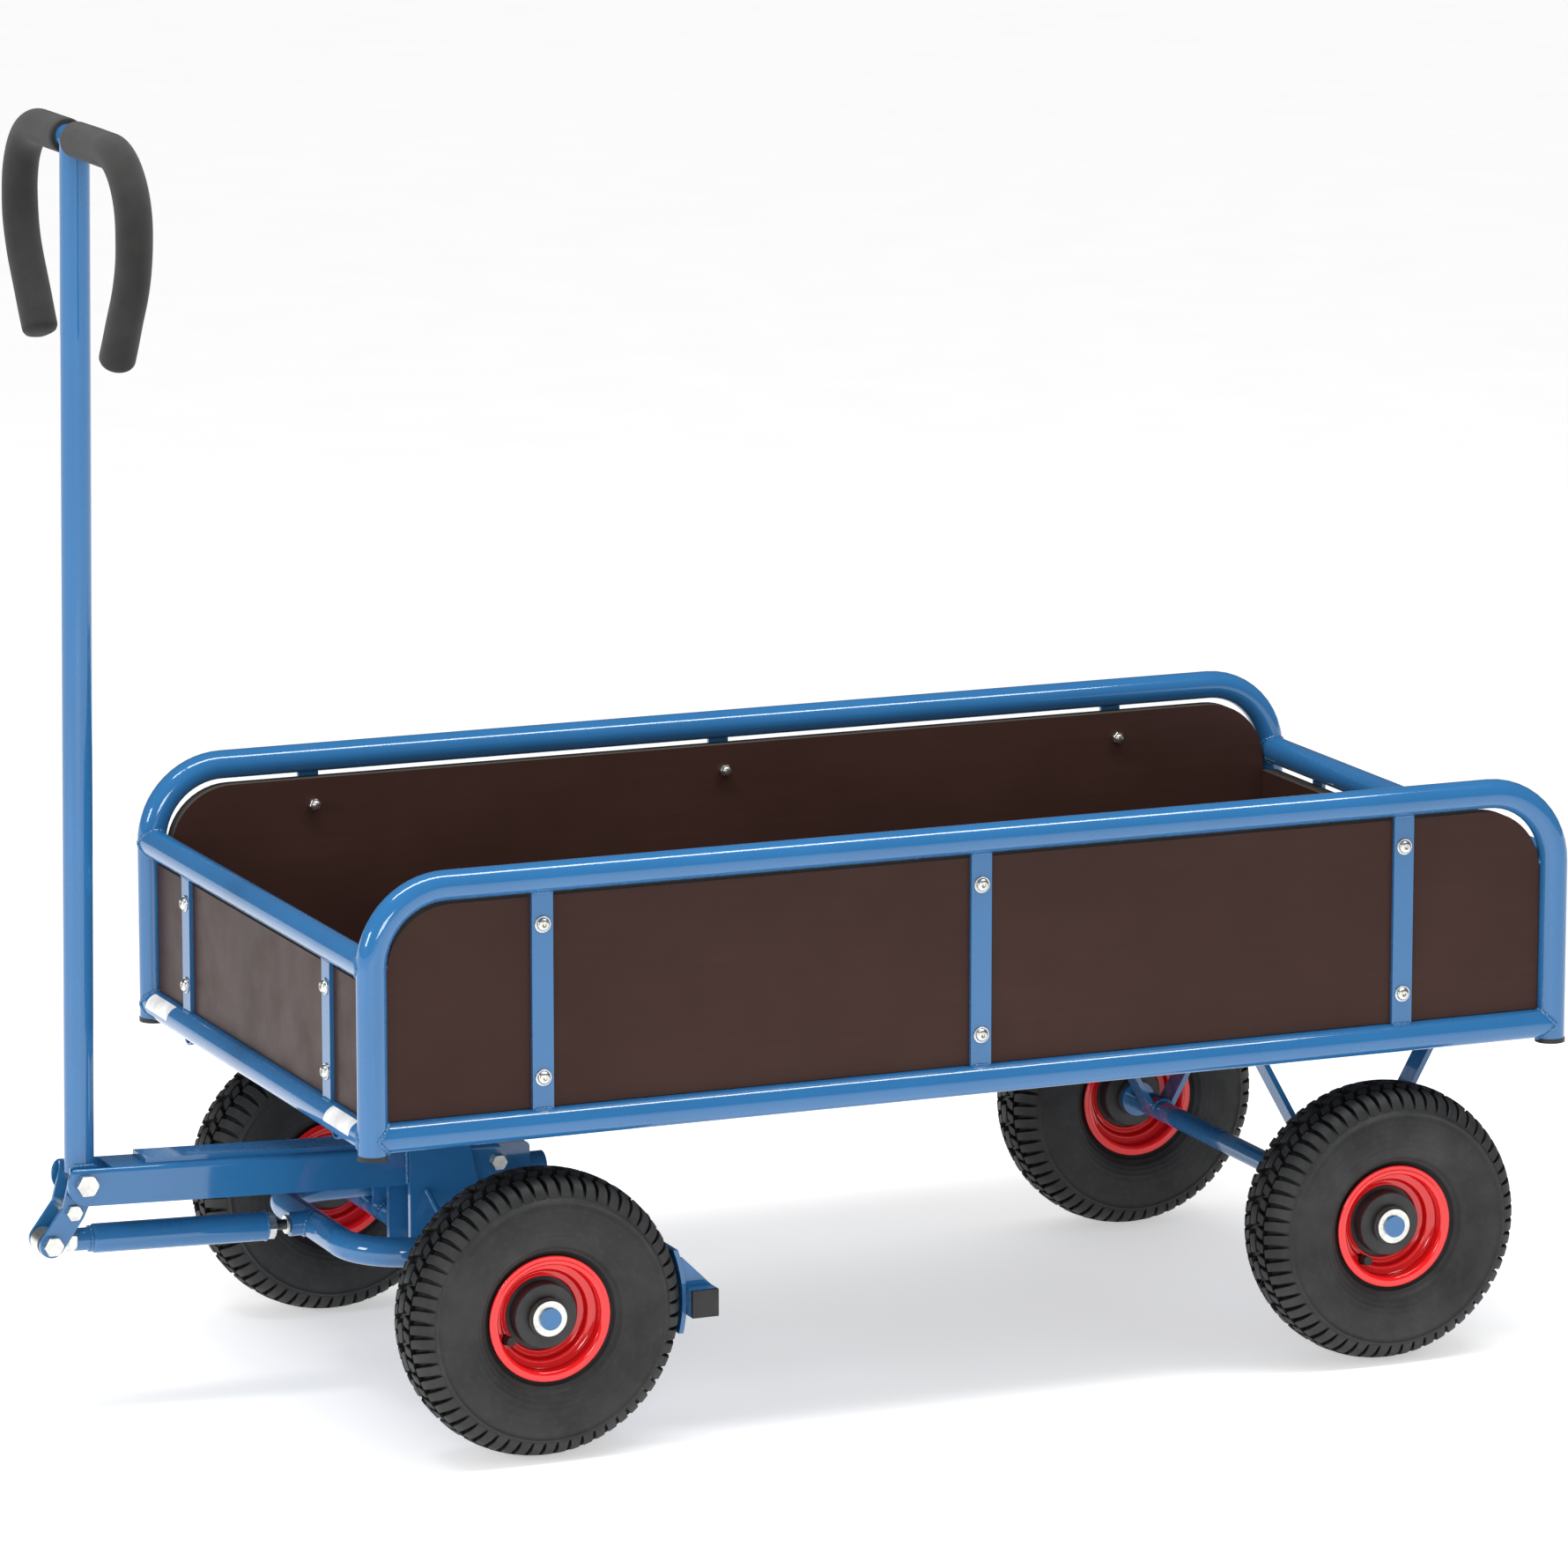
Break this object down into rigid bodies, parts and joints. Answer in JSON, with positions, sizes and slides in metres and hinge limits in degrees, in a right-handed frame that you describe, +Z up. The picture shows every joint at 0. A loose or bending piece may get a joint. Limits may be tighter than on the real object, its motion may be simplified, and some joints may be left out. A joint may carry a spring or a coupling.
{
  "type": "garden cart",
  "caption": "Hand cart with a panelled tubular tray on pneumatic wheels, turntable steering and an upright handle that works a brake on the front tyres.",
  "frame": {"origin": "on the ground, midway along the cart's length from the rear post caps to the eye at the brake lever's tip, in its centre plane", "axes": "+X forward towards the handle, +Y to the cart's left, +Z up"},
  "size_m": [1.3916, 0.6332, 1.1735],
  "materials": {
    "frame_paint": "gloss light-blue powder coat",
    "panel_board": "dark brown phenolic film on plywood",
    "tyre_rubber": "matt black rubber",
    "tube_rubber": "matt black rubber",
    "rim_paint": "gloss red paint",
    "hub_plastic": "black moulded plastic",
    "zinc": "bright zinc plate",
    "black_plastic": "black plastic",
    "grip_foam": "matt dark-grey foam"
  },
  "bodies": {
    "chassis": {"side_frame_left": "frame_paint", "side_frame_right": "frame_paint", "lower_frame": "frame_paint", "end_top_rails": "frame_paint", "post_caps": "black_plastic", "panel_bars": "frame_paint", "side_panel_left": "panel_board", "side_panel_right": "panel_board", "front_panel": "panel_board", "rear_panel": "panel_board", "floor_panel": "panel_board", "panel_fasteners": "zinc", "deck_bearers": "frame_paint", "cross_members": "frame_paint", "turntable_top_plate": "frame_paint", "turntable_ring": "black_plastic", "kingpin": "zinc", "rear_axle": "frame_paint", "rear_axle_washers": "zinc", "rear_axle_bearings": "zinc", "rear_struts": "frame_paint"},
    "truck": {"turntable_lower_plate": "frame_paint", "drawbar": "frame_paint", "fork_cheeks": "frame_paint", "front_axle": "frame_paint", "front_axle_washers": "zinc", "front_axle_bearings": "zinc", "bow_guides": "frame_paint", "drawbar_bolts": "zinc"},
    "wheel_front_left": {"tyre_front_left": "tyre_rubber", "inner_tube_front_left": "tube_rubber", "rim_front_left": "rim_paint", "hub_front_left": "hub_plastic"},
    "wheel_front_right": {"tyre_front_right": "tyre_rubber", "inner_tube_front_right": "tube_rubber", "rim_front_right": "rim_paint", "hub_front_right": "hub_plastic"},
    "wheel_rear_left": {"tyre_rear_left": "tyre_rubber", "inner_tube_rear_left": "tube_rubber", "rim_rear_left": "rim_paint", "hub_rear_left": "hub_plastic"},
    "wheel_rear_right": {"tyre_rear_right": "tyre_rubber", "inner_tube_rear_right": "tube_rubber", "rim_rear_right": "rim_paint", "hub_rear_right": "hub_plastic"},
    "handle": {"handle_stem": "frame_paint", "grip_bar": "frame_paint", "foam_grip_left": "grip_foam", "foam_grip_right": "grip_foam", "lever_plates": "frame_paint", "lever_bolts": "zinc"},
    "strut": {"strut_tube": "frame_paint", "strut_rod_end": "zinc", "strut_adjuster": "zinc"},
    "brake_frame": {"brake_bow": "frame_paint", "brake_bar": "frame_paint", "bar_end_caps": "black_plastic", "brake_shoes": "frame_paint", "guide_plate": "frame_paint"}
  },
  "joints": [
    {"name": "front_steer", "type": "hinge", "parent": "chassis", "child": "truck", "pos_m": [0.31883, 0, 0.2677], "axis": [0, 0, 1], "range_deg": [-50, 50]},
    {"name": "front_left_spin", "type": "hinge", "parent": "truck", "child": "wheel_front_left", "pos_m": [0.31883, 0.274, 0.13], "axis": [0, 1, 0], "continuous": true},
    {"name": "front_right_spin", "type": "hinge", "parent": "truck", "child": "wheel_front_right", "pos_m": [0.31883, -0.274, 0.13], "axis": [0, 1, 0], "continuous": true},
    {"name": "rear_left_spin", "type": "hinge", "parent": "chassis", "child": "wheel_rear_left", "pos_m": [-0.51648, 0.274, 0.13], "axis": [0, 1, 0], "continuous": true},
    {"name": "rear_right_spin", "type": "hinge", "parent": "chassis", "child": "wheel_rear_right", "pos_m": [-0.51648, -0.274, 0.13], "axis": [0, 1, 0], "continuous": true},
    {"name": "handle_tilt", "type": "hinge", "parent": "truck", "child": "handle", "pos_m": [0.65382, 0, 0.22], "axis": [0, 1, 0], "range_deg": [0, 60]},
    {"name": "strut_swing", "type": "hinge", "parent": "handle", "child": "strut", "pos_m": [0.68383, 0, 0.1648], "axis": [0, 1, 0], "range_deg": [-60, 0]},
    {"name": "brake_slide", "type": "slide", "parent": "truck", "child": "brake_frame", "axis": [-1, 0, 0], "range_m": [0, 0.06284]}
  ],
  "couplings": [
    {"joint": "strut_swing", "follows": "handle_tilt", "ratio": -1},
    {"joint": "brake_slide", "follows": "handle_tilt", "m_per_rad": 0.06}
  ]
}
